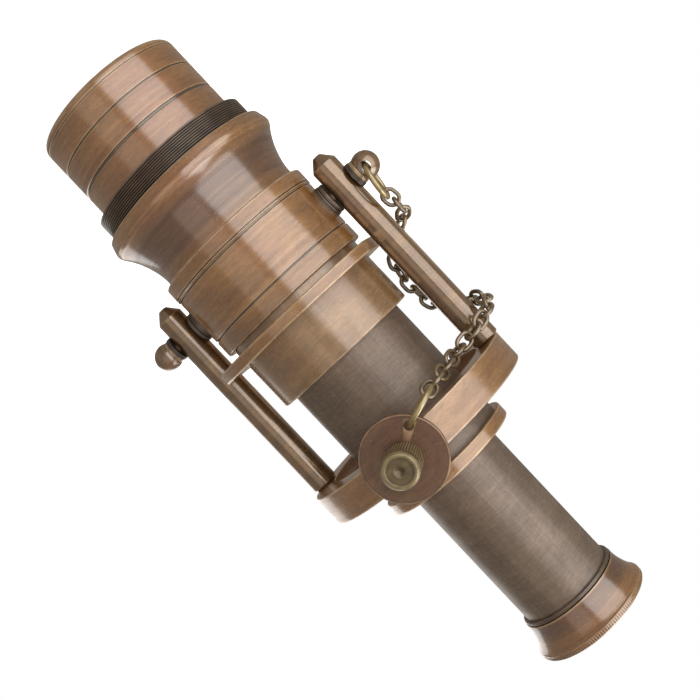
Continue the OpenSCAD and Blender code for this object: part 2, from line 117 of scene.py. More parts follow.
class Bench:
    """A node tree and short ways to add and join its nodes."""

    def __init__(self, tree: bpy.types.NodeTree) -> None:
        """Starts on an empty tree."""
        self.tree = tree
        self.count = 0

    def node(self, kind: str, **values: object) -> bpy.types.Node:
        """Adds a node.

        Args:
            kind: The node's type without its ShaderNode prefix.
            **values: Properties of the node.

        Returns:
            The new node.
        """
        made = self.tree.nodes.new(kind if kind.startswith("NodeGroup") else "ShaderNode" + kind)
        made.location = (200 * (self.count % 8), -220 * (self.count // 8))
        self.count += 1
        for name, value in values.items():
            setattr(made, name, value)
        return made

    def feed(self, node: bpy.types.Node, **sources: object) -> bpy.types.Node:
        """Sets or links a node's inputs, each named by its label or by i and its number.

        Args:
            node: The node.
            **sources: A socket to link from, or a plain value.

        Returns:
            The same node.
        """
        for name, source in sources.items():
            key = int(name[1:]) if name[0] == "i" and name[1:].isdigit() else name.replace("_", " ")
            socket = node.inputs[key]
            if isinstance(source, bpy.types.NodeSocket):
                self.tree.links.new(source, socket)
            else:
                socket.default_value = source
        return node

    def maths(self, operation: str, first: object, second: object, clamp: bool = False) -> Socket:
        """One sum, product or comparison of two values."""
        made = self.node("Math", operation=operation, use_clamp=clamp)
        return self.feed(made, i0=first, i1=second).outputs[0]

    def times(self, first: object, second: object) -> Socket:
        """The product of two values."""
        return self.maths("MULTIPLY", first, second)

    def plus(self, first: object, second: object, clamp: bool = False) -> Socket:
        """The sum of two values."""
        return self.maths("ADD", first, second, clamp)

    def minus(self, first: object, second: object) -> Socket:
        """The first value less the second."""
        return self.maths("SUBTRACT", first, second)

    def group(self, name: str) -> bpy.types.Node:
        """Adds one of the shader node groups."""
        return self.node("Group", node_tree=bpy.data.node_groups[name])

    def blend(self, share: object, first: object, second: object, kind: str = "MIX") -> Socket:
        """A mix of two colours."""
        made = self.node("Mix", data_type="RGBA", blend_type=kind, clamp_factor=True)
        return self.feed(made, i0=share, i6=first, i7=second).outputs[2]

    def ramp(self, value: object, low: float, high: float, start: float = 0.0, end: float = 1.0) -> Socket:
        """A value's smooth rise between two limits."""
        made = self.node("MapRange", interpolation_type="SMOOTHSTEP")
        return self.feed(made, i0=value, i1=low, i2=high, i3=start, i4=end).outputs[0]

    def grain(self, place: object, scale: object, detail: float = 4.0, rough: float = 0.55) -> Socket:
        """Cloudy noise at a place."""
        made = self.node("TexNoise")
        return self.feed(made, Vector=place, Scale=scale, Detail=detail, Roughness=rough).outputs[0]

    def stretched(self, place: object, scale: tuple[float, ...], turn: float = 0.0) -> Socket:
        """A place turned about Z and scaled by a different amount each way."""
        made = self.node("Mapping")
        return self.feed(made, Vector=place, Scale=scale, Rotation=(0.3 * turn, 0.7 * turn, turn)).outputs[0]

    def attribute(self, name: str) -> Socket:
        """A number kept on the mesh's points."""
        return self.node("Attribute", attribute_name=name).outputs["Fac"]

    def place(self) -> Socket:
        """The place on the object."""
        return self.node("TexCoord").outputs["Object"]

    def line_noise(self, along: object, scale: float, detail: float, rough: float) -> Socket:
        """Noise along a line."""
        made = self.node("TexNoise", noise_dimensions="1D")
        return self.feed(made, W=along, Scale=scale, Detail=detail, Roughness=rough).outputs[0]

    def finish(self, **sources: object) -> None:
        """Adds the shader with these inputs, and joins it to the material's output."""
        shader = self.feed(self.node("BsdfPrincipled"), **sources)
        self.feed(self.node("OutputMaterial"), Surface=shader.outputs[0])


def blank_material(name: str) -> tuple[bpy.types.Material, Bench]:
    """Starts a material with an empty node tree.

    Args:
        name: The material's name.

    Returns:
        The material and the bench for its nodes.
    """
    made = bpy.data.materials.new(name)
    made.use_nodes = True
    made.node_tree.nodes.clear()
    return made, Bench(made.node_tree)


def new_group(
    name: str, inputs: Iterable[tuple[str, str, object]], outputs: Iterable[tuple[str, str]]
) -> tuple[Bench, bpy.types.Node, bpy.types.Node]:
    """Starts a shader node group with named inputs and outputs.

    Args:
        name: The group's name.
        inputs: Each input's name, socket type and starting value.
        outputs: Each output's name and socket type.

    Returns:
        Its bench, its input node and its output node.
    """
    tree = bpy.data.node_groups.new(name, "ShaderNodeTree")
    for label, kind, value in inputs:
        socket = tree.interface.new_socket(label, in_out="INPUT", socket_type="NodeSocket" + kind)
        socket.default_value = value
    for label, kind in outputs:
        tree.interface.new_socket(label, in_out="OUTPUT", socket_type="NodeSocket" + kind)
    bench = Bench(tree)
    return bench, bench.node("NodeGroupInput"), bench.node("NodeGroupOutput")


def aged_tone_and_shade_group() -> bpy.types.NodeTree:
    """Makes the group for old metal: patches, blushes, painted shade between two heights, pits, bright corners
    and grimy grooves.

    Returns:
        The group, which puts out a colour and a dullness.
    """
    bench, given, result = new_group(
        "aged tone and painted shade",
        [
            *((colour.title(), "Color", WHITE) for colour in COLOURS),
            ("Patch Scale", "Float", 120.0),
            ("Tarnish Share", "Float", 0.7),
            ("Wear", "Float", 0.7),
            ("Stain From", "Float", 500.0),
            ("Stain To", "Float", 500.0),
        ],
        [("Color", "Color"), ("Dull", "Float")],
    )
    place = bench.place()
    corner = bench.attribute("corner")
    patch_scale = given.outputs["Patch Scale"]
    streaks = bench.stretched(place, (0.7, 0.7, 2.8))
    patch = bench.ramp(bench.grain(streaks, patch_scale, 6.0, 0.6), 0.36, 0.64)
    patch = bench.times(patch, given.outputs["Tarnish Share"])
    colour = bench.blend(patch, given.outputs["Metal"], given.outputs["Tarnish"])
    wide = bench.times(patch_scale, 0.43)
    clouds = bench.grain(bench.stretched(place, (1.0, 1.0, 0.6), 0.8), wide, 3.0, 0.5)
    colour = bench.blend(bench.ramp(clouds, 0.5, 0.7, 0.0, 0.65), colour, given.outputs["Blush"])
    # Painted shade: between two heights the base colour is multiplied darker, standing in for the shade inside a
    # hollow curve; the coat keeps its sheen.
    height = bench.feed(bench.node("SeparateXYZ"), Vector=place).outputs[2]
    height = bench.plus(bench.times(height, 1000.0), bench.grain(place, 110.0, 3.0))
    past = bench.ramp(bench.minus(height, given.outputs["Stain From"]), -1.0, 2.5)
    short = bench.ramp(bench.minus(given.outputs["Stain To"], height), -1.0, 2.5)
    shaded = bench.blend(1.0, colour, (0.46, 0.40, 0.44, 1.0), "MULTIPLY")
    colour = bench.blend(bench.times(past, short), colour, shaded)
    cloud = bench.ramp(bench.grain(streaks, 800.0, 5.0, 0.65), 0.3, 0.7, 0.80, 1.14)
    colour = bench.blend(1.0, colour, cloud, "MULTIPLY")
    pits = bench.ramp(bench.grain(place, 2300.0, 2.0, 0.5), 0.69, 0.76, 0.0, 0.65)
    colour = bench.blend(pits, colour, given.outputs["Grime"])
    rub = bench.ramp(bench.grain(place, 380.0, 4.0, 0.6), 0.3, 0.62, 0.25, 1.0)
    rub = bench.times(rub, given.outputs["Wear"])
    bright = bench.times(bench.ramp(corner, 0.05, 0.8), rub)
    colour = bench.blend(bright, colour, given.outputs["Bright"])
    dirt = bench.ramp(bench.times(corner, -1.0), 0.1, 0.9, 0.0, 0.85)
    colour = bench.blend(dirt, colour, given.outputs["Grime"])
    dull = bench.plus(bench.times(patch, 0.08), bench.times(dirt, 0.3))
    dull = bench.minus(dull, bench.times(bright, 0.06))
    bench.feed(result, Color=colour, Dull=dull)
    return bench.tree


def tool_lines_group() -> bpy.types.NodeTree:
    """Makes the group for the rings that a lathe tool leaves, by the distance along a piece's profile.

    Returns:
        The group, which puts out a height and a shade.
    """
    bench, _, result = new_group("tool lines", [], [("Height", "Float"), ("Shade", "Float")])
    along = bench.attribute("along")
    fine = bench.line_noise(along, 7000.0, 3.0, 0.7)
    wide = bench.line_noise(along, 900.0, 2.0, 0.5)
    broken = bench.ramp(bench.grain(bench.place(), 260.0, 3.0), 0.35, 0.65)
    height = bench.times(fine, broken)
    bench.feed(result, Height=height, Shade=bench.times(fine, wide))
    return bench.tree


def drawn_lines_group() -> bpy.types.NodeTree:
    """Makes the group for the long lines along a drawn tube or rod.

    Returns:
        The group, which puts out a height and a shade.
    """
    bench, _, result = new_group("drawn lines", [], [("Height", "Float"), ("Shade", "Float")])
    place = bench.place()
    fine = bench.grain(bench.stretched(place, (2600.0, 2600.0, 45.0)), 1.0, 3.0, 0.6)
    wide = bench.grain(bench.stretched(place, (420.0, 420.0, 22.0)), 1.0, 3.0, 0.5)
    bench.feed(result, Height=fine, Shade=bench.times(fine, wide))
    return bench.tree


def scratches_group() -> bpy.types.NodeTree:
    """Makes the group for scattered hairline scratches and small dents.

    Returns:
        The group, which puts out a mask and a height.
    """
    bench, _, result = new_group("scratches", [], [("Mask", "Float"), ("Height", "Float")])
    place = bench.place()
    hairs = []
    for turn, long_way, short_way in ((0.5, 45.0, 2400.0), (-0.9, 60.0, 1900.0), (1.9, 80.0, 2800.0)):
        lines = bench.grain(bench.stretched(place, (short_way, long_way, short_way), turn), 1.0, 1.0, 0.4)
        hairs.append(bench.ramp(lines, 0.70, 0.74))
    mask = bench.plus(bench.plus(hairs[0], hairs[1]), hairs[2], True)
    some = bench.ramp(bench.grain(place, 190.0, 2.0), 0.46, 0.62)
    mask = bench.times(mask, some)
    dents = bench.ramp(bench.grain(place, 330.0, 2.0, 0.4), 0.2, 0.8, 0.0, 1.0)
    bench.feed(result, Mask=mask, Height=bench.minus(dents, mask))
    return bench.tree


@dataclass(frozen=True)
class AgedMetal:
    """One finish of old metal.

    Attributes:
        name: The material's name.
        metal: Its clean colour.
        tarnish: The colour of its darker patches.
        blush: The reddish colour of its copper-rich patches.
        bright: The colour of its rubbed corners.
        grime: The colour left in its grooves.
        lines: The way its tool lines run.
        gloss: The mean roughness of the metal under its skin of oxide.
        metallic: How far it reflects as bare metal.
        patch_scale: Patches to the metre.
        tarnish_share: How strong the patches are.
        wear: How strong the bright corners are.
        line_depth: How deep the tool lines look.
        coat: How much of the glossy oxide skin is left.
        coat_gloss: The roughness of that skin.
        slot: A material slot name, not used.
        stain: The heights in millimetres between which its base colour is darkened as painted shade in a hollow
            curve.
    """

    name: str
    metal: Colour
    tarnish: Colour
    blush: Colour
    bright: Colour
    grime: Colour
    lines: Lines
    gloss: float
    metallic: float
    patch_scale: float
    tarnish_share: float
    wear: float
    line_depth: float
    coat: float
    coat_gloss: float
    slot: str
    stain: tuple[float, float] = (500.0, 500.0)

    def material(self) -> bpy.types.Material:
        """Makes the finish, or finds it if it is made already.

        Returns:
            The material.
        """
        found = bpy.data.materials.get(self.name)
        if found:
            return found
        made, bench = blank_material(self.name)
        aged = bench.group("aged tone and painted shade")
        bench.feed(
            aged, Patch_Scale=self.patch_scale, Tarnish_Share=self.tarnish_share, Wear=self.wear,
            Stain_From=self.stain[0], Stain_To=self.stain[1],
            **{colour.title(): getattr(self, colour) for colour in COLOURS},
        )
        hairs = bench.group("scratches")
        scratched = bench.times(hairs.outputs["Mask"], SCRATCH_TINT)
        colour = bench.blend(scratched, aged.outputs["Color"], self.bright)
        height = bench.times(hairs.outputs["Height"], SCRATCH_DEPTH)
        rough = bench.plus(aged.outputs["Dull"], self.gloss)
        lost = bench.times(hairs.outputs["Mask"], SCRATCH_LOSS)
        kept = bench.minus(1.0, lost)
        skin = bench.times(kept, self.coat)
        if self.lines is not Lines.CAST:
            ruled = bench.group(LINE_GROUPS[self.lines])
            depth = bench.times(ruled.outputs["Height"], self.line_depth)
            height = bench.plus(height, depth)
            shade = bench.ramp(ruled.outputs["Shade"], 0.1, 0.45, 0.9, 1.1)
            colour = bench.blend(1.0, colour, shade, "MULTIPLY")
            skin = bench.times(skin, bench.ramp(ruled.outputs["Shade"], 0.1, 0.45, 0.8, 1.15))
        bump = bench.feed(bench.node("Bump"), Strength=BUMP_STRENGTH, Distance=BUMP_DISTANCE, Height=height)
        bench.finish(
            Base_Color=colour, Roughness=rough, Metallic=self.metallic, Normal=bump.outputs[0],
            Coat_Weight=skin, Coat_Roughness=self.coat_gloss, Coat_IOR=SKIN_IOR,
        )
        return made


BODY_BRASS = AgedMetal(
    name="aged brass", metal=tone(164, 115, 58), tarnish=tone(132, 87, 40), blush=tone(152, 95, 56),
    bright=tone(214, 184, 142), grime=tone(48, 34, 24), lines=Lines.TURNED, gloss=0.42, metallic=0.48,
    patch_scale=90.0, tarnish_share=0.75, wear=0.8, line_depth=0.5, coat=0.95, coat_gloss=0.17,
    slot="aged_brass",
)


def aged(name: str, *charts: tuple[int, int, int], **changes: object) -> AgedMetal:
    """The body's finish with other colours, from metal to grime, and with other changes."""
    colours = {part: tone(*chart) for part, chart in zip(COLOURS, charts)}
    return replace(BODY_BRASS, name=name, **colours, **changes)


# Painted shade darkens the collar's hollow neck between these heights.
COLLAR_BRASS = aged("stained collar brass", stain=(28.4, 38.2))
# Painted shade darkens the eyecup's hollow flare between these heights.
CUP_BRASS = aged("stained eyecup brass", stain=(142.5, 148.0))
SLEEVE_BRASS = aged(
    "sleeve brass", (162, 123, 76), (134, 97, 54), (156, 105, 64), (206, 180, 146), (50, 38, 28),
    lines=Lines.DRAWN, tarnish_share=0.7, wear=0.7, line_depth=0.4, coat=0.9, coat_gloss=0.22,
)
BAND_BRASS = aged(
    "band brass", (166, 121, 70), (138, 93, 50), (160, 103, 64), (216, 188, 150), (46, 34, 24),
    metallic=0.55, patch_scale=120.0, tarnish_share=0.65, wear=0.9, line_depth=0.35, coat=0.85,
    coat_gloss=0.22,
)
BALL_BRASS = aged(
    "ball brass", (140, 106, 62), (102, 75, 44), (134, 92, 60), (208, 178, 130), (40, 29, 20),
    metallic=0.65, patch_scale=240.0, tarnish_share=0.7, wear=0.85, line_depth=0.3, coat_gloss=0.18,
)
DARK_BRASS = aged(
    "blackened brass", (78, 64, 52), (54, 43, 35), (80, 58, 48), (142, 120, 98), (24, 18, 14),
    gloss=0.52, metallic=0.55, patch_scale=150.0, tarnish_share=0.7, wear=0.6, line_depth=0.6,
    coat=0.45, coat_gloss=0.34, slot="dark_brass",
)
TUBE_METAL = aged(
    "smoked tube", (132, 113, 96), (108, 90, 76), (128, 100, 82), (182, 164, 142), (46, 38, 32),
    lines=Lines.DRAWN, gloss=0.50, metallic=0.55, patch_scale=70.0, tarnish_share=0.7, wear=0.6,
    coat=0.35, coat_gloss=0.4, slot="gunmetal",
)
ROD_BRASS = aged(
    "red brass", (142, 106, 62), (106, 76, 44), (140, 94, 60), (212, 174, 130), (40, 28, 19),
    lines=Lines.DRAWN, gloss=0.32, metallic=0.7, patch_scale=130.0, tarnish_share=0.7, wear=0.85,
    line_depth=0.45, coat_gloss=0.12, slot="red_brass",
)
DISC_BRASS = aged(
    "brown disc brass", (116, 84, 56), (92, 65, 45), (112, 74, 54), (184, 152, 120), (38, 27, 21),
    gloss=0.54, metallic=0.6, patch_scale=190.0, tarnish_share=0.7, line_depth=0.4, coat=0.35,
    coat_gloss=0.4, slot="red_brass",
)
YELLOW_BRASS = aged(
    "yellow brass", (146, 122, 60), (104, 86, 44), (128, 100, 56), (200, 180, 118), (38, 31, 18),
    lines=Lines.CAST, metallic=0.7, patch_scale=260.0, tarnish_share=0.7, line_depth=0.4, coat=0.85,
    coat_gloss=0.2, slot="bright_brass",
)
CHAIN_BRASS = aged(
    "chain brass", (86, 68, 44), (54, 42, 28), (84, 62, 40), (150, 126, 88), (24, 18, 13),
    lines=Lines.CAST, gloss=0.46, metallic=0.65, patch_scale=420.0, tarnish_share=0.8, wear=0.9,
    line_depth=0.4, coat=0.75, coat_gloss=0.24, slot="dark_brass",
)
SCREW_BRASS = aged(
    "olive brass", (116, 98, 62), (84, 70, 44), (120, 94, 64), (190, 174, 130), (38, 31, 22),
    gloss=0.48, metallic=0.62, patch_scale=240.0, tarnish_share=0.7, wear=0.9, line_depth=0.55,
    coat=0.3, coat_gloss=0.3, slot="bright_brass",
)


def lens_material(name: str, tint: Colour) -> bpy.types.Material:
    """Makes optical glass with a little dust on it.

    Args:
        name: The material's name.
        tint: The glass colour.

    Returns:
        The material.
    """
    made, bench = blank_material(name)
    dust = bench.ramp(bench.grain(bench.place(), 1400.0, 3.0), 0.55, 0.8, 0.02, 0.16)
    bench.finish(Base_Color=tint, Roughness=dust, Metallic=0.0, IOR=1.52, Transmission_Weight=1.0)
    return made


# ---------------------------------------------------------------------------------------------
# Turning, drilling and finishing of meshes
# ---------------------------------------------------------------------------------------------

ALONG_Z = Matrix.Identity(4)
SIDEWAYS = {side: Matrix.Rotation(side * math.pi / 2, 4, "Y") for side in (-1, 1)}
TOWARD_FRONT = Matrix.Rotation(math.pi / 2, 4, "X")


def facing(place: Vector, along: Vector) -> Matrix:
    """Puts something at a place, in metres, with its Z axis along a direction."""
    return Matrix.Translation(place) @ along.to_track_quat("Z", "Y").to_matrix().to_4x4()


def raised(height: float, turned: Matrix) -> Matrix:
    """Turns something and lifts it to a height in millimetres."""
    return Matrix.Translation((0, 0, height * MM)) @ turned


def groove(radius: float, station: float, width: float, depth: float) -> list[Corner]:
    """The corners of a groove in a turned surface, with softened lips.

    Args:
        radius: The surface's radius.
        station: The groove's middle.
        width: Its width.
        depth: Its depth.

    Returns:
        Corners in order of station.
    """
    half = width / 2
    return [
        (radius, station - half, 0.07),
        (radius - depth, station - half * 0.6),
        (radius - depth, station + half * 0.6),
        (radius, station + half, 0.07),
    ]


def arc(centre: float, radius: float, start: float, end: float, steps: int) -> list[Corner]:
    """Corners along a ball's outline, for a ball on the turning axis.

    Args:
        centre: The station of the ball's centre.
        radius: Its radius.
        start: The first angle, in degrees from the axis.
        end: The last angle.
        steps: How many steps lie between them.

    Returns:
        The corners.
    """
    turns = [math.radians(start + (end - start) * i / steps) for i in range(steps + 1)]
    return [(abs(radius * math.sin(a)), centre + radius * math.cos(a)) for a in turns]


def soften(bm: Solid, picked: list, size: float, steps: int, affect: str) -> None:
    """Rounds edges or corners by a size in millimetres."""
    bmesh.ops.bevel(
        bm, geom=picked, offset=size * MM, offset_type="OFFSET", segments=steps, profile=0.5, affect=affect,
        clamp_overlap=True, material=-1,
    )


def sweep(bm: Solid, picked: list, angle: float, steps: int, y: float = 0.0, merge: bool = False) -> list:
    """Sweeps geometry around the line along Z at that Y, and returns its last copy."""
    return bmesh.ops.spin(
        bm, geom=picked, cent=(0, y, 0), axis=(0, 0, 1), dvec=(0, 0, 0), angle=angle, steps=steps,
        use_merge=merge, use_normal_flip=False, use_duplicate=False,
    )["geom_last"]


def rounding(corner: Corner) -> tuple[float, int]:
    """The rounding of a corner and its steps."""
    return corner[2], corner[3] if len(corner) > 3 else 3


def profile(corners: list[Corner], closed: bool) -> Solid:
    """Draws a lathe profile as a wire, rounds its corners and marks how far along it each point lies.

    Args:
        corners: Radius, station, rounding and rounding steps of each corner, in millimetres.
        closed: Whether the last corner joins the first.

    Returns:
        The wire, in the XZ plane.
    """
    bm = bmesh.new()
    marks = [bm.verts.new((c[0] * MM, 0.0, c[1] * MM)) for c in corners]
    ring = marks + marks[:1] if closed else marks
    for first, second in zip(ring, ring[1:]):
        bm.edges.new((first, second))
    for kind in sorted({rounding(c) for c in corners if len(c) > 2}):
        picked = [v for v, c in zip(marks, corners) if len(c) > 2 and rounding(c) == kind]
        soften(bm, picked, kind[0], kind[1], "VERTICES")
    for edge in bm.edges[:]:
        length = edge.calc_length()
        if length > 4 * HOLD * MM:
            first, last = edge.verts
            _, middle = bmesh.utils.edge_split(edge, first, HOLD * MM / length)
            rest = next(e for e in middle.link_edges if last in e.verts)
            bmesh.utils.edge_split(rest, last, HOLD * MM / (length - HOLD * MM))
    layer = bm.verts.layers.float.new("along")
    bm.verts.ensure_lookup_table()
    here = next((v for v in bm.verts if len(v.link_edges) == 1), bm.verts[0])
    seen = {here}
    while True:
        beside = [e.other_vert(here) for e in here.link_edges]
        onward = next((v for v in beside if v not in seen), None)
        if onward is None:
            break
        onward[layer] = here[layer] + (onward.co - here.co).length
        seen.add(onward)
        here = onward
    return bm


def turn(corners: list[Corner], closed: bool = True, steps: int = FINE, place: Matrix = ALONG_Z) -> Solid:
    """Turns a profile on the lathe and puts the solid in its place.

    Args:
        corners: The profile's corners.
        closed: Whether the profile is a loop that stays off the axis.
        steps: Facets around the axis.
        place: Where the turned solid goes.

    Returns:
        The solid.
    """
    bm = profile(corners, closed)
    sweep(bm, bm.verts[:] + bm.edges[:], 2 * math.pi, steps, merge=True)
    bmesh.ops.remove_doubles(bm, verts=bm.verts, dist=1e-7)
    bmesh.ops.transform(bm, matrix=place, verts=bm.verts)
    bmesh.ops.recalc_face_normals(bm, faces=bm.faces)
    return bm


def slice_off(bm: Solid, point: Vector, outward: Vector, edge: float) -> None:
    """Cuts a flat on a solid, closes it and softens its edge.

    Args:
        bm: The solid.
        point: A point of the flat.
        outward: The way the flat faces.
        edge: The width of its softened edge, in millimetres.
    """
    everything = bm.verts[:] + bm.edges[:] + bm.faces[:]
    cut = bmesh.ops.bisect_plane(
        bm, geom=everything, dist=1e-8, plane_co=point, plane_no=outward, clear_outer=True
    )
    rim = [g for g in cut["geom_cut"] if isinstance(g, bmesh.types.BMEdge)]
    bmesh.ops.edgeloop_fill(bm, edges=rim)
    soften(bm, rim, edge, 2, "EDGES")


@dataclass(frozen=True)
class Milling:
    """Notches around a turned rim, in millimetres.

    Attributes:
        facets: Facets around the axis.
        period: Facets from one notch to the next.
        first: The facet of the first notch.
        depth: How deep the notches are.
        least: Radius from which the rim is milled.
        low: Station where they begin.
        high: Station where they end.
    """

    facets: int
    period: int
    first: int
    depth: float
    least: float
    low: float
    high: float = math.inf

    def cut(self, bm: Solid, place: Matrix = ALONG_Z) -> None:
        """Cuts the notches.

        Args:
            bm: The turned solid.
            place: Where its axis lies.
        """
        back = place.inverted()
        for vert in bm.verts:
            local = back @ vert.co
            out = math.hypot(local.x, local.y)
            facet = round(math.atan2(local.y, local.x) * self.facets / (2 * math.pi))
            milled = out > self.least * MM and self.low < local.z / MM < self.high
            if milled and facet % self.period == self.first:
                shrink = 1 - self.depth * MM / out
                vert.co = place @ Vector((local.x * shrink, local.y * shrink, local.z))


def keep(name: str, bm: Solid) -> Piece:
    """Turns a solid into an object at the origin.

    Args:
        name: The object's name.
        bm: The solid, which is freed.

    Returns:
        The object.
    """
    mesh = bpy.data.meshes.new(name)
    bm.to_mesh(mesh)
    bm.free()
    made = bpy.data.objects.new(name, mesh)
    bpy.context.scene.collection.objects.link(made)
    return made


def shaft(radius: float, start: Iterable[float], end: Iterable[float]) -> Piece:
    """A plain cylinder that a drill or a mill takes away, in millimetres.

    Args:
        radius: Its radius.
        start: The middle of one end.
        end: The middle of the other end.

    Returns:
        The cutter.
    """
    bm = bmesh.new()
    first, last = Vector(start) * MM, Vector(end) * MM
    bmesh.ops.create_cone(
        bm, cap_ends=True, segments=64, radius1=radius * MM, radius2=radius * MM,
        depth=(last - first).length, matrix=facing((first + last) / 2, last - first),
    )
    return keep("cutter", bm)


def drill(piece: Piece, *cutters: Piece) -> None:
    """Takes cutters away from a piece.

    Args:
        piece: The piece, whose mesh changes.
        *cutters: The cutters, which are removed.
    """
    for cutter in cutters:
        step = piece.modifiers.new("drill", "BOOLEAN")
        step.object = cutter
        step.operation = "DIFFERENCE"
        step.solver = "EXACT"
    result = piece.evaluated_get(bpy.context.evaluated_depsgraph_get())
    drilled = bpy.data.meshes.new_from_object(result)
    piece.modifiers.clear()
    piece.data = drilled
    for cutter in cutters:
        bpy.data.objects.remove(cutter)


def mark_corners(bm: Solid) -> None:
    """Writes how sharply the surface turns at each point: above 0 on ridges, below 0 in grooves."""
    layer = bm.verts.layers.float.get("corner") or bm.verts.layers.float.new("corner")
    for vert in bm.verts:
        ridge = dip = 0.0
        for edge in vert.link_edges:
            if len(edge.link_faces) == 2:
                bend = edge.calc_face_angle_signed(0.0)
                ridge = max(ridge, bend)
                dip = min(dip, bend)
        bend = ridge if ridge > -dip else dip
        vert[layer] = max(-1.0, min(1.0, bend / FULL_BEND)) if abs(bend) > LEAST_BEND else 0.0


def dress(piece: Piece, finish: AgedMetal, body: str, node: str, harden: bool = True) -> None:
    """Gives a piece its finish, its smooth shading and its place in the frame.

    Args:
        piece: The piece.
        finish: Its finish.
        body: The CAD body it rides on.
        node: The CAD node it stands for.
        harden: Whether its wide faces keep flat shading up to their bevels.
    """
    bm = bmesh.new()
    bm.from_mesh(piece.data)
    mark_corners(bm)
    for face in bm.faces:
        face.smooth = True
    bm.to_mesh(piece.data)
    bm.free()
    piece.data.set_sharp_from_angle(angle=math.radians(SHARP_DEGREES))
    if harden:
        shading = piece.modifiers.new("shading", "WEIGHTED_NORMAL")
        shading.keep_sharp = True
        shading.weight = FACE_WEIGHT
    piece.data.materials.clear()
    piece.data.materials.append(finish.material())
    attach(piece, body)
    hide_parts(node)
    log.info("%s on %s: %d faces", piece.name, body, len(piece.data.polygons))


@dataclass(frozen=True)
class Span:
    """Where a CAD node lies, in millimetres."""

    low: Vector
    high: Vector

    @classmethod
    def of(cls, node: str) -> "Span":
        """Reads a node's box."""
        low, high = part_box(node)
        return cls(low / MM, high / MM)

    @property
    def bottom(self) -> float:
        """Its lowest height."""
        return self.low.z

    @property
    def top(self) -> float:
        """Its highest height."""
        return self.high.z

    @property
    def radius(self) -> float:
        """Half its width across the telescope."""
        return (self.high.x - self.low.x) / 2

    @property
    def reach(self) -> float:
        """Its farthest distance to the left or right of the axis."""
        return max(abs(self.low.x), abs(self.high.x))

    @property
    def middle(self) -> Vector:
        """Its centre."""
        return (self.low + self.high) / 2


# ---------------------------------------------------------------------------------------------
# Sub-assemblies
# ---------------------------------------------------------------------------------------------


@dataclass
class Objective:
    """The lens end: the push-on cap, the blackened thread ring and the bell-shaped collar.

    Attributes:
        cap_wall: Thickness of the cap's wall.
        cap_floor: Thickness of its closed end.
        lip: Rounding of its outer edge.
        threads: Fine ridges on the thread ring.
        bore: Inner radius of the ring and the collar.
        cap_lines: The cap's grooves: the share of its height and the distance past it, the width and the depth.
        ridge_depth: Depth of the thread ring's ridges.
        neck_step: How far the collar's neck stands in from its rim.
        cove_tangent: Length of each tangent of the collar's hollow curve.
        cove_gap: Height from that curve's end to the barrel.
    """

    cap_wall: float = 1.4
    cap_floor: float = 1.8
    lip: float = 1.4
    threads: int = 9
    bore: float = 17.0
    cap_lines: tuple[Corner, ...] = ((0.0, 1.95, 0.22, 0.14), (0.37, 0.0, 0.4, 0.24), (0.69, 0.0, 0.75, 0.28))
    ridge_depth: float = 0.24
    neck_step: float = 4.05
    cove_tangent: float = 5.65
    cove_gap: float = 1.2

    def cap(self) -> None:
        """Turns the cap with its lip line and its two grooves."""
        at = Span.of("objective_cap")
        rim = at.radius
        corners = [(0.0, at.bottom), (rim, at.bottom, self.lip, 8)]
        for share, past, width, depth in self.cap_lines:
            corners += groove(rim, (at.top + 0.1) * share + past, width, depth)
        corners += [
            (rim, at.top, 0.18), (rim - self.cap_wall, at.top, 0.12),
            (rim - self.cap_wall, self.cap_floor, 0.3), (0.0, self.cap_floor),
        ]
        dress(keep("turned_cap", turn(corners, closed=False)), BODY_BRASS, "cap", "objective_cap")

    def ring(self) -> None:
        """Turns the thread ring with fine ridges."""
        at = Span.of("thread_ring")
        rim = at.radius
        pitch = (at.top - at.bottom - 0.5) / self.threads
        corners: list[Corner] = [(self.bore, at.bottom), (rim, at.bottom, 0.08)]
        for i in range(self.threads):
            foot = at.bottom + 0.25 + pitch * i
            dip = (rim - self.ridge_depth, foot + pitch * 0.5)
            corners += [(rim, foot + pitch * 0.12), dip, (rim, foot + pitch * 0.88)]
        corners += [(rim, at.top, 0.08), (self.bore, at.top)]
        dress(keep("threaded_ring", turn(corners)), DARK_BRASS, "barrel", "thread_ring")

    def collar(self) -> None:
        """Turns the collar: a ridge, a hollow curve and the neck."""
        at = Span.of("objective_collar")
        barrel = Span.of("main_barrel")
        rim = at.radius
        neck = rim - self.neck_step
        corner = barrel.bottom - self.cove_gap - self.cove_tangent
        corners = [
            (self.bore, at.bottom), (rim - 0.6, at.bottom, 0.25), (rim, at.bottom + 2.2, 0.18),
            (rim, at.bottom + 2.75, 0.16), (rim - 0.36, at.bottom + 3.5, 0.12),
            (neck, corner, self.cove_tangent - 0.02, 28),
            (neck, barrel.bottom), (self.bore, barrel.bottom), (self.bore, at.top),
            (self.bore - 1.3, at.top), (self.bore - 1.3, at.bottom + 7.0), (self.bore, at.bottom + 7.0),
        ]
        dress(keep("bell_collar", turn(corners)), COLLAR_BRASS, "barrel", "objective_collar")

    def build(self) -> None:
        """Builds the lens end."""
        self.cap()
        self.ring()
        self.collar()


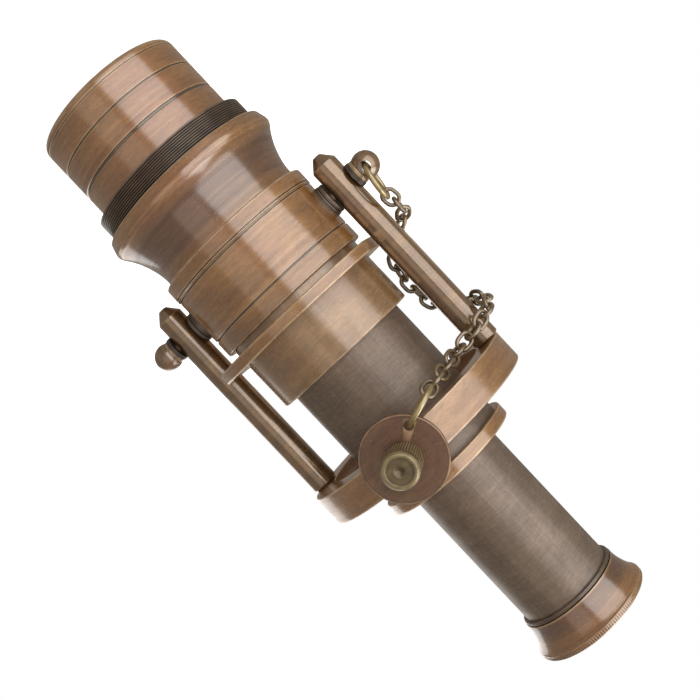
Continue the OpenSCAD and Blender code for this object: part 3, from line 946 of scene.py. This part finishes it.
@dataclass
class Barrel:
    """The main barrel, its sleeve and the guide plate with two flats for the yoke's rods.

    Attributes:
        rim_len: Length of the slightly thicker rim.
        bore: Radius that the outer draw tube's stop ring slides in.
        spigot: Radius of the joint with the collar.
        spigot_len: Depth of that joint.
        pin_radius: Radius of the pivot pins' holes.
    """

    rim_len: float = 3.5
    bore: float = 15.7
    spigot: float = 17.0
    spigot_len: float = 5.3
    pin_radius: float = 1.3

    def shell(self) -> None:
        """Turns the barrel with its double line and its groove, and drills it for the pivot pins."""
        at = Span.of("main_barrel")
        sleeve = Span.of("barrel_sleeve")
        rim = at.radius
        wall = rim - 0.2
        step = at.bottom + self.rim_len
        corners = [(self.spigot, at.bottom), (rim, at.bottom, 0.3)]
        corners += groove(rim, step - 0.4, 0.3, 0.35)
        corners += [(rim, step - 0.03, 0.05), (wall, step + 0.1, 0.05)]
        corners += groove(wall, step + 0.42, 0.3, 0.35)
        corners += groove(wall, at.top - 4.0, 0.45, 0.32)
        corners += [
            (wall, at.top, 0.3), (sleeve.radius, at.top), (sleeve.radius, sleeve.bottom),
            (self.bore, sleeve.bottom), (self.bore, at.bottom + self.spigot_len),
            (self.spigot, at.bottom + self.spigot_len),
        ]
        piece = keep("main_barrel_shell", turn(corners))
        pivot = Span.of("plain_ball_screw").middle.z
        drill(piece, *(shaft(self.pin_radius, (side * 14, 0, pivot), (side * 22, 0, pivot)) for side in (-1, 1)))
        dress(piece, BODY_BRASS, "barrel", "main_barrel")

    def sleeve(self) -> None:
        """Turns the plain sleeve behind the plate."""
        at = Span.of("barrel_sleeve")
        bore = Span.of("outer_draw_tube").radius + 0.1
        corners = [
            (bore, at.bottom), (at.radius, at.bottom, 0.3), (at.radius, at.top, 0.32), (bore, at.top, 0.12),
        ]
        dress(keep("plain_sleeve", turn(corners)), SLEEVE_BRASS, "barrel", "barrel_sleeve")

    def plate(self) -> None:
        """Turns the guide plate and mills its two flats."""
        at = Span.of("guide_plate")
        rim = at.high.y
        bore = Span.of("barrel_sleeve").radius
        bm = turn([(bore, at.bottom), (rim, at.bottom, 0.28), (rim, at.top, 0.28), (bore, at.top)])
        for side in (-1, 1):
            slice_off(bm, Vector((side * at.high.x * MM, 0, 0)), Vector((side, 0, 0)), 0.2)
        dress(keep("guide_plate_milled", bm), BODY_BRASS, "barrel", "guide_plate")

    def build(self) -> None:
        """Builds the barrel."""
        self.shell()
        self.sleeve()
        self.plate()


@dataclass
class DrawTubes:
    """The two draw tubes and the flanged collar between them.

    Attributes:
        outer_wall: Thickness of the outer tube.
        inner_wall: Thickness of the inner tube.
        step: How far the outer tube enters the flange.
    """

    outer_wall: float = 1.1
    inner_wall: float = 1.0
    step: float = 1.6

    def tube(self, node: str, name: str, wall: float, body: str, finish: AgedMetal) -> None:
        """Turns one drawn tube.

        Args:
            node: The CAD node it stands for.
            name: The piece's name.
            wall: Its thickness.
            body: The body it rides on.
            finish: Its finish.
        """
        at = Span.of(node)
        rim, bore = at.radius, at.radius - wall
        corners = [(bore, at.bottom), (rim, at.bottom, 0.1), (rim, at.top, 0.08), (bore, at.top)]
        dress(keep(name, turn(corners)), finish, body, node)

    def flange(self) -> None:
        """Turns the flanged collar at the outer tube's end."""
        at = Span.of("tube_collar")
        outer = Span.of("outer_draw_tube").radius
        bore = Span.of("inner_draw_tube").radius + 0.1
        corners = [
            (outer, at.bottom), (at.radius, at.bottom, 0.32), (at.radius, at.top, 0.4), (bore, at.top, 0.1),
            (bore, at.bottom + self.step), (outer, at.bottom + self.step),
        ]
        dress(keep("flanged_collar", turn(corners)), BODY_BRASS, "outer_draw", "tube_collar")

    def build(self) -> None:
        """Builds both tubes and the flange."""
        self.tube("outer_draw_tube", "outer_drawn_tube", self.outer_wall, "outer_draw", TUBE_METAL)
        self.tube("inner_draw_tube", "inner_drawn_tube", self.inner_wall, "inner_draw", TUBE_METAL)
        self.flange()


@dataclass
class Eyepiece:
    """The bead and the flared eyecup with its milled edge.

    Attributes:
        notches: Notches around the cup's rim.
        notch_depth: Their depth.
        rim_len: Length of the rim.
        cove_tangent: Length of each tangent of the cup's hollow flare.
        hollow: Radius of the eye hole.
        lens_seat: Radius of the eye lens.
        spigot: Radius of the part inside the tube.
    """

    notches: int = 150
    notch_depth: float = 0.16
    rim_len: float = 1.6
    cove_tangent: float = 3.13
    hollow: float = 5.0
    lens_seat: float = 7.0
    spigot: float = 9.95

    def bead(self) -> None:
        """Turns the dark bead between tube and cup."""
        at = Span.of("eyepiece_bead")
        rim, tube = at.radius, Span.of("inner_draw_tube").radius
        corners = [(tube, at.bottom), (rim, at.bottom, 0.42, 6), (rim, at.top, 0.42, 6), (tube, at.top)]
        dress(keep("eyepiece_bead_ring", turn(corners)), DARK_BRASS, "inner_draw", "eyepiece_bead")

    def cup(self) -> None:
        """Turns the flared cup and mills notches around its rim."""
        at = Span.of("eyecup")
        bead = Span.of("eyepiece_bead")
        foot = bead.top + 0.05
        root = at.radius - 2.05
        flare = at.top - self.rim_len
        floor = bead.top + 1.0
        rim = at.radius
        corners = [
            (self.lens_seat, at.bottom), (self.spigot, at.bottom, 0.1), (self.spigot, foot),
            (root, foot, 0.08), (root, bead.top + 0.6 + self.cove_tangent, self.cove_tangent - 0.02, 18),
            (rim - 0.25, flare, 0.1), (rim, flare + 0.25, 0.1), (rim, flare + 0.75), (rim, at.top - 0.35),
            (rim - 0.3, at.top, 0.1), (rim - 2.2, at.top, 0.2), (self.hollow, floor + 1.4, 0.3),
            (self.hollow, floor), (self.lens_seat, floor),
        ]
        bm = turn(corners, steps=2 * self.notches)
        notches = Milling(
            facets=2 * self.notches, period=2, first=1, depth=self.notch_depth, least=rim - 0.1, low=flare + 0.6
        )
        notches.cut(bm)
        dress(keep("flared_eyecup", bm), CUP_BRASS, "eyecup", "eyecup")

    def build(self) -> None:
        """Builds the eyepiece."""
        self.bead()
        self.cup()


@dataclass
class Yoke:
    """The ring band and its two rods with cone tips.

    Attributes:
        thickness: Radial thickness of the band.
        tenon: Radius of each rod's tenon.
        tenon_len: Its length.
        screw_radius: Radius of the thumb screw's hole.
        tip_len: Length of each cone tip.
        pin_radius: Radius of the cross holes, left and right.
    """

    thickness: float = 5.5
    tenon: float = 1.5
    tenon_len: float = 4.0
    screw_radius: float = 1.55
    tip_len: float = 2.4
    pin_radius: tuple[float, float] = (1.25, 1.3)

    def band(self) -> None:
        """Turns the band, mills the disc's seat and drills it for the rods and the screw."""
        at = Span.of("band_ring")
        rim = at.radius
        bore = rim - self.thickness
        bm = turn([(bore, at.bottom, 0.15), (rim, at.bottom, 0.25), (rim, at.top, 0.25), (bore, at.top, 0.15)])
        slice_off(bm, Vector((0, at.low.y * MM, 0)), Vector((0, -1, 0)), 0.12)
        piece = keep("ring_band", bm)
        reach = Span.of("yoke_rod_right").middle.x
        middle = at.middle.z
        low, high = at.bottom - 1, at.bottom + self.tenon_len
        cutters = [shaft(self.tenon, (side * reach, 0, low), (side * reach, 0, high)) for side in (-1, 1)]
        drill(piece, *cutters, shaft(self.screw_radius, (0, -15, middle), (0, -30, middle)))
        dress(piece, BAND_BRASS, "yoke", "band_ring")

    def rod(self, node: str, name: str, hole: float) -> None:
        """Turns one rod and drills its cross hole.

        Args:
            node: The CAD node it stands for.
            name: The piece's name.
            hole: Radius of the cross hole.
        """
        at = Span.of(node)
        centre = at.middle.x
        band = Span.of("band_ring").bottom
        rim = at.radius
        corners = [
            (0.0, at.bottom), (rim / 3, at.bottom, 0.12), (rim, at.bottom + self.tip_len, 0.16),
            (rim, band - 0.5, 0.06), (rim - 0.5, band, 0.05), (self.tenon, band), (self.tenon, at.top),
            (0.0, at.top),
        ]
        place = Matrix.Translation((centre * MM, 0, 0))
        piece = keep(name, turn(corners, closed=False, steps=72, place=place))
        pivot = Span.of("plain_ball_screw").middle.z
        drill(piece, shaft(hole, (centre - rim - 1, 0, pivot), (centre + rim + 1, 0, pivot)))
        dress(piece, ROD_BRASS, "yoke", node)

    def build(self) -> None:
        """Builds the yoke."""
        self.band()
        self.rod("yoke_rod_left", "left_rod", self.pin_radius[0])
        self.rod("yoke_rod_right", "right_rod", self.pin_radius[1])


@dataclass
class Pivots:
    """The bosses on the barrel and the ball-headed screws that the rods swing on.

    Attributes:
        pin: Radius of the pins.
        collar: Radius of each ball's collar.
        collar_len: Its length.
        ball: Radius of the ball heads.
        hole: Radius of the hole through the drilled ball.
        hole_lean: Lean of the jump ring in that hole, in degrees.
        hole_shift: How far the hole sits from the ball's middle.
    """

    pin: float = 1.25
    collar: float = 2.75
    collar_len: float = 0.8
    ball: float = 3.1
    hole: float = 1.31
    hole_lean: float = 8.0
    hole_shift: float = 0.46

    def boss(self, side: int, node: str, name: str) -> None:
        """Turns a washer and nut that stand on the barrel.

        Args:
            side: -1 for left and 1 for right.
            node: The CAD node they stand for.
            name: The piece's name.
        """
        at = Span.of(node)
        wall = Span.of("main_barrel").radius - 0.2
        end = at.reach
        rim = (at.top - at.bottom) / 2
        bore = self.pin + 0.05
        corners = [
            (bore, wall - 1.0), (rim, wall - 1.0), (rim, end - 0.98, 0.12), (rim - 0.5, end - 0.9),
            (rim - 0.5, end - 0.84), (rim - 0.12, end - 0.78, 0.1), (rim - 0.12, end, 0.2), (bore, end, 0.1),
        ]
        place = raised(at.middle.z, SIDEWAYS[side])
        piece = keep(name, turn(corners, steps=64, place=place))
        drill(piece, shaft(wall, (0, 0, at.bottom - 3), (0, 0, at.top + 3)))
        dress(piece, DARK_BRASS, "barrel", node)

    def screw(self, side: int, node: str, name: str, body: str, drilled: bool) -> None:
        """Turns a screw: pin, collar and ball.

        Args:
            side: -1 for left and 1 for right.
            node: The CAD node it stands for.
            name: The piece's name.
            body: The body it rides on.
            drilled: Whether a jump ring passes through the ball.
        """
        at = Span.of(node)
        inner = min(abs(at.low.x), abs(at.high.x))
        centre = at.reach - self.ball
        seat = Span.of("ball_washer_right").reach
        neck = seat + self.collar_len
        open_angle = math.degrees(math.acos((centre - neck) / self.ball))
        corners: list[Corner] = [
            (0.0, inner), (self.pin, inner, 0.15), (self.pin, seat), (self.collar, seat, 0.1),
            (self.collar, neck, 0.12),
        ]
        corners += arc(centre, self.ball, 180 - open_angle, 0.0, 26)
        place = raised(at.middle.z, SIDEWAYS[side])
        piece = keep(name, turn(corners, closed=False, steps=72, place=place))
        if drilled:
            lean = math.radians(self.hole_lean)
            x = side * centre + self.hole_shift * math.sin(lean)
            z = at.middle.z + self.hole_shift * math.cos(lean)
            drill(piece, shaft(self.hole, (x, -6, z), (x, 6, z)))
        dress(piece, BALL_BRASS, body, node, harden=False)

    def build(self) -> None:
        """Builds both pivots."""
        self.boss(-1, "pivot_boss_left", "left_boss_nut")
        self.boss(1, "pivot_boss_right", "right_boss_nut")
        self.screw(-1, "drilled_ball_screw", "drilled_ball_head", "yoke", True)
        self.screw(1, "plain_ball_screw", "plain_ball_head", "ball_knob", False)


@dataclass
class DiscAndScrew:
    """The drilled cover disc and the thumb screw that holds it on the band.

    Attributes:
        screw: Radius of the thumb screw's shank.
        hole: Radius of the jump ring's hole.
        hole_out: Its distance from the disc's middle.
        hole_angle: Its bearing around the disc, in degrees.
        ribs: Ribs around the thumb screw's head.
        rib_depth: Their depth.
        dimple: Radius of the centre mark on the head.
        dimple_depth: Its depth.
    """

    screw: float = 1.5
    hole: float = 1.05
    hole_out: float = 6.8
    hole_angle: float = 219.0
    ribs: int = 44
    rib_depth: float = 0.16
    dimple: float = 1.15
    dimple_depth: float = 0.75

    def disc(self) -> None:
        """Turns the disc and drills it."""
        at = Span.of("cover_disc")
        middle = at.middle.z
        front, back = -at.low.y, -at.high.y
        rim, bore = at.radius, self.screw + 0.05
        corners = [(bore, back), (rim, back, 0.12), (rim, front, 0.16), (bore, front, 0.08)]
        place = raised(middle, TOWARD_FRONT)
        piece = keep("cover_disc_turned", turn(corners, steps=128, place=place))
        bearing = math.radians(self.hole_angle)
        x, z = self.hole_out * math.cos(bearing), middle + self.hole_out * math.sin(bearing)
        drill(piece, shaft(self.hole, (x, -front - 1, z), (x, -back + 1, z)))
        dress(piece, DISC_BRASS, "yoke", "cover_disc")

    def thumb_screw(self) -> None:
        """Turns the screw and mills ribs around its head."""
        at = Span.of("thumb_screw")
        rim = at.radius
        tip, end = -at.high.y, -at.low.y
        seat = -Span.of("cover_disc").low.y + 0.1
        corners = [
            (0.0, tip), (self.screw, tip, 0.2), (self.screw, seat), (rim, seat, 0.25), (rim, seat + 0.9),
            (rim, end - 1.1), (rim, end - 0.6, 0.1), (rim - 0.45, end, 0.14), (rim - 1.0, end, 0.1),
            (rim - 1.15, end - 0.12, 0.08), (self.dimple, end - 0.12, 0.1), (0.0, end - self.dimple_depth),
        ]
        place = raised(at.middle.z, TOWARD_FRONT)
        bm = turn(corners, closed=False, steps=4 * self.ribs, place=place)
        ribs = Milling(
            facets=4 * self.ribs, period=4, first=0, depth=self.rib_depth, least=rim - 0.02, low=seat + 0.6,
            high=end - 0.8,
        )
        ribs.cut(bm, place)
        dress(keep("ribbed_thumb_screw", bm), SCREW_BRASS, "thumb_screw", "thumb_screw")

    def build(self) -> None:
        """Builds the disc and its screw."""
        self.disc()
        self.thumb_screw()


@dataclass
class Chain:
    """The two jump rings and the oval links between them.

    Attributes:
        ring_wire: Wire diameter of the jump rings.
        ring_gap: Opening of each jump ring, in degrees.
        wire: Wire diameter of the links.
        half_width: Half the width of a link, to the middle of its wire.
        sides: Facets around that wire.
        bend_steps: Facets along each half turn of a link.
        ring_sides: Facets around a jump ring's wire.
        ring_steps: Facets along it.
        slit: Where its slit lies, in radians.
    """

    ring_wire: float = 1.2
    ring_gap: float = 1.2
    wire: float = 0.9
    half_width: float = 1.45
    sides: int = 12
    bend_steps: int = 9
    ring_sides: int = 24
    ring_steps: int = 88
    slit: float = 2.2

    @staticmethod
    def shells(node: str) -> list[tuple[Vector, Matrix, Vector]]:
        """Finds where each closed ring of a CAD node lies and how it is turned.

        Args:
            node: The CAD node.

        Returns:
            For each ring its centre, a matrix whose columns are its width, length and thickness
            directions, and its three sizes that way.
        """
        bm = bmesh.new()
        bm.from_mesh(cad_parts[node].data)
        bmesh.ops.remove_doubles(bm, verts=bm.verts, dist=2e-6)
        left = set(bm.faces)
        found = []
        while left:
            stack = [left.pop()]
            mine = []
            while stack:
                face = stack.pop()
                mine.append(face)
                for edge in face.edges:
                    for near in edge.link_faces:
                        if near in left:
                            left.discard(near)
                            stack.append(near)
            weights = np.array([f.calc_area() for f in mine])
            points = np.array([f.calc_center_median() for f in mine])
            centre = (weights[:, None] * points).sum(0) / weights.sum()
            spread = (points - centre) * np.sqrt(weights)[:, None]
            _, axes = np.linalg.eigh(spread.T @ spread)
            width, length = Vector(axes[:, 1]), Vector(axes[:, 2])
            turned = Matrix((width, length, width.cross(length))).transposed()
            local = (points - centre) @ np.array(turned)
            found.append((Vector(centre), turned, Vector(local.max(0) - local.min(0))))
        bm.free()
        return found

    @staticmethod
    def wire_end(thickness: float, sides: int, place: Corner, closed: bool) -> Solid:
        """Starts a wire with its round end.

        Args:
            thickness: The wire's diameter, in millimetres.
            sides: Facets around it.
            place: The end's middle, in metres.
            closed: Whether the end is a face.

        Returns:
            A new mesh with the end.
        """
        bm = bmesh.new()
        bmesh.ops.create_circle(
            bm, cap_ends=closed, segments=sides, radius=thickness * MM / 2,
            matrix=Matrix.Translation(place) @ TOWARD_FRONT,
        )
        return bm

    def jump_ring(self, node: str, name: str) -> None:
        """Bends one jump ring, with a slit where its ends meet.

        Args:
            node: The CAD node it stands for.
            name: The piece's name.
        """
        centre, turned, size = self.shells(node)[0]
        mean = (size.x + size.y) / 4 - self.ring_wire * MM / 2
        bm = self.wire_end(self.ring_wire, self.ring_sides, (mean, 0, 0), True)
        sweep(bm, bm.faces[:], 2 * math.pi - math.radians(self.ring_gap), self.ring_steps)
        bmesh.ops.remove_doubles(bm, verts=bm.verts, dist=1e-8)
        bmesh.ops.recalc_face_normals(bm, faces=bm.faces)
        place = Matrix.Translation(centre) @ turned.to_4x4() @ Matrix.Rotation(self.slit, 4, "Z")
        bmesh.ops.transform(bm, matrix=place, verts=bm.verts)
        dress(keep(name, bm), YELLOW_BRASS, "yoke", node, harden=False)

    def link(self, bm: Solid, place: Matrix, straight: float) -> None:
        """Bends one oval link from wire: two half turns and two straight sides.

        Args:
            bm: The mesh that takes the link.
            place: Where the link goes.
            straight: Half the length of its straight sides, in metres.
        """
        wire = self.wire_end(self.wire, self.sides, (self.half_width * MM, -straight, 0), False)
        ring = wire.edges[:]
        for end in (1, -1):
            drawn = bmesh.ops.extrude_edge_only(wire, edges=ring)["geom"]
            moved = [g for g in drawn if isinstance(g, bmesh.types.BMVert)]
            bmesh.ops.translate(wire, verts=moved, vec=(0, end * 2 * straight, 0))
            edges = [g for g in drawn if isinstance(g, bmesh.types.BMEdge)]
            ring = [e for e in edges if all(v in moved for v in e.verts)]
            bent = sweep(wire, ring, math.pi, self.bend_steps, end * straight)
            ring = [g for g in bent if isinstance(g, bmesh.types.BMEdge)]
        bmesh.ops.remove_doubles(wire, verts=wire.verts, dist=1e-6)
        bmesh.ops.recalc_face_normals(wire, faces=wire.faces)
        bmesh.ops.transform(wire, matrix=place, verts=wire.verts)
        one = bpy.data.meshes.new("link")
        wire.to_mesh(one)
        wire.free()
        bm.from_mesh(one)
        bpy.data.meshes.remove(one)

    def links(self) -> None:
        """Bends every link where its CAD ring lies."""
        bm = bmesh.new()
        for centre, turned, size in self.shells("chain"):
            straight = size.y / 2 - self.wire * MM / 2 - self.half_width * MM
            self.link(bm, Matrix.Translation(centre) @ turned.to_4x4(), straight)
        dress(keep("oval_link_chain", bm), CHAIN_BRASS, "yoke", "chain", harden=False)

    def build(self) -> None:
        """Builds the rings and the chain."""
        self.jump_ring("disc_jump_ring", "disc_ring_bent")
        self.jump_ring("knob_jump_ring", "ball_ring_bent")
        self.links()


def dress_cad_nodes() -> None:
    """Gives every CAD node that stays its finish: lenses, cells, stop rings and washers."""
    glass = lens_material("lens glass", (0.93, 0.97, 0.95, 1.0))
    for name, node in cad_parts.items():
        node.data.materials.clear()
        if name.endswith("lens"):
            node.data.materials.append(glass)
        elif name.startswith("ball_washer") or name.endswith(("ring", "cell", "spacer")):
            node.data.materials.append(DARK_BRASS.material())
        else:
            node.data.materials.append(BODY_BRASS.material())


# ---------------------------------------------------------------------------------------------
# Studio
# ---------------------------------------------------------------------------------------------


@dataclass(frozen=True)
class Softbox:
    """One soft light.

    Attributes:
        name: Its name.
        bearing: Degrees to the left of the camera's own bearing, as seen from the telescope.
        rise: Degrees above the horizon.
        distance: Metres from the telescope.
        width: Metres.
        height: Metres.
        power: Watts.
        colour: Its colour.
    """

    name: str
    bearing: float
    rise: float
    distance: float
    width: float
    height: float
    power: float
    colour: tuple[float, float, float] = (1.0, 1.0, 1.0)


@dataclass
class Studio:
    """The camera, the pale floor and the soft lights.

    Attributes:
        bearing: The camera's bearing from the telescope's front, in degrees.
        rise: How far the camera looks up, in degrees.
        roll: How far the camera is rolled, in degrees.
        eye: The camera's distance from the axis, its offset across the view and its height, in millimetres.
        lens: Focal length, in millimetres.
        aim: Height that the lights face, in millimetres.
        floor_size: Half the floor's width, in metres.
        softboxes: The lights.
    """

    bearing: float = 13.0
    rise: float = 1.48
    roll: float = 46.78
    eye: tuple[float, float, float] = (228.9, -0.76, 68.0)
    lens: float = 55.3
    aim: float = 75.0
    floor_size: float = 6.0
    softboxes: list[Softbox] = field(default_factory=lambda: [
        Softbox("key softbox", 37.0, 4.0, 0.75, 1.05, 1.40, 6.9),
        Softbox("front fill", -26.0, 6.0, 0.9, 0.60, 1.20, 0.9, (1.0, 0.88, 0.74)),
        Softbox("far side softbox", -150.0, 20.0, 0.9, 0.7, 0.7, 2.0),
        Softbox("top softbox", 60.0, 75.0, 0.8, 0.6, 0.6, 3.0),
    ])

    @staticmethod
    def heading(bearing: float, rise: float) -> Vector:
        """The direction at a bearing and a rise, in degrees."""
        flat, up = math.radians(bearing), math.radians(rise)
        return Vector((math.sin(flat) * math.cos(up), math.cos(flat) * math.cos(up), math.sin(up)))

    def camera(self) -> None:
        """Sets the camera."""
        ahead = self.heading(self.bearing, self.rise)
        upright = (Vector((0, 0, 1)) - ahead * ahead.z).normalized()
        level = ahead.cross(upright)
        roll = math.radians(self.roll)
        right = upright * math.cos(roll) - level * math.sin(roll)
        top = -upright * math.sin(roll) - level * math.cos(roll)
        back, across, height = self.eye
        flat = self.heading(self.bearing, 0.0)
        eye = (across * self.heading(self.bearing + 90, 0.0) - back * flat + Vector((0, 0, height))) * MM
        data = bpy.data.cameras.new("camera")
        data.lens = self.lens
        data.sensor_width = 36.0
        data.clip_start = 0.01
        made = bpy.data.objects.new("camera", data)
        made.matrix_world = Matrix.Translation(eye) @ Matrix((right, top, -ahead)).transposed().to_4x4()
        bpy.context.scene.collection.objects.link(made)
        bpy.context.scene.camera = made

    def lights(self) -> None:
        """Hangs the softboxes around the telescope, each facing its middle."""
        middle = Vector((0, 0, self.aim * MM))
        for box in self.softboxes:
            toward = -self.heading(self.bearing + box.bearing, -box.rise)
            data = bpy.data.lights.new(box.name, "AREA")
            data.shape = "RECTANGLE"
            data.size, data.size_y = box.width, box.height
            data.energy = box.power
            data.color = box.colour
            made = bpy.data.objects.new(box.name, data)
            made.matrix_world = facing(middle + toward * box.distance, toward)
            made.visible_camera = False
            bpy.context.scene.collection.objects.link(made)

    def surroundings(self) -> None:
        """Sets the white studio, which looks dimmer in the telescope's reflections than to the camera."""
        world = bpy.data.worlds.new("studio")
        world.use_nodes = True
        world.node_tree.nodes.clear()
        bench = Bench(world.node_tree)
        seen = bench.node("LightPath").outputs["Is Camera Ray"]
        dim = bench.feed(bench.node("Background"), Color=(1.0, 0.91, 0.80, 1.0), Strength=0.32)
        plain = bench.feed(bench.node("Background"), Color=WHITE, Strength=1.0)
        both = bench.feed(bench.node("MixShader"), i0=seen, i1=dim.outputs[0], i2=plain.outputs[0])
        bench.feed(bench.node("OutputWorld"), Surface=both.outputs[0])
        bpy.context.scene.world = world

    def floor(self) -> None:
        """Lays the pale floor under the cap."""
        bm = bmesh.new()
        bmesh.ops.create_grid(bm, x_segments=2, y_segments=2, size=self.floor_size)
        floor = keep("floor", bm)
        made, bench = blank_material("pale floor")
        pale = bench.blend(bench.ramp(bench.grain(bench.place(), 3.0, 3.0), 0.2, 0.8, 0.94, 1.0), BLACK, WHITE)
        bench.finish(Base_Color=pale, Roughness=0.9, Emission_Color=pale, Emission_Strength=1.0)
        floor.data.materials.append(made)
        floor.visible_glossy = False
        floor.visible_diffuse = False
        floor.visible_shadow = False

    def build(self) -> None:
        """Builds the studio, the camera first."""
        self.camera()
        self.lights()
        self.surroundings()
        self.floor()
        bpy.context.scene.view_settings.view_transform = "Standard"


def main() -> None:
    """Builds the studio and the telescope, one sub-assembly after another."""
    Studio().build()
    for make in (aged_tone_and_shade_group, tool_lines_group, drawn_lines_group, scratches_group):
        make()
    dress_cad_nodes()
    for part in (Objective(), Barrel(), DrawTubes(), Eyepiece(), Yoke(), Pivots(), DiscAndScrew(), Chain()):
        part.build()
        log.info("%s is done", type(part).__name__)


if __name__ == "__main__":
    main()
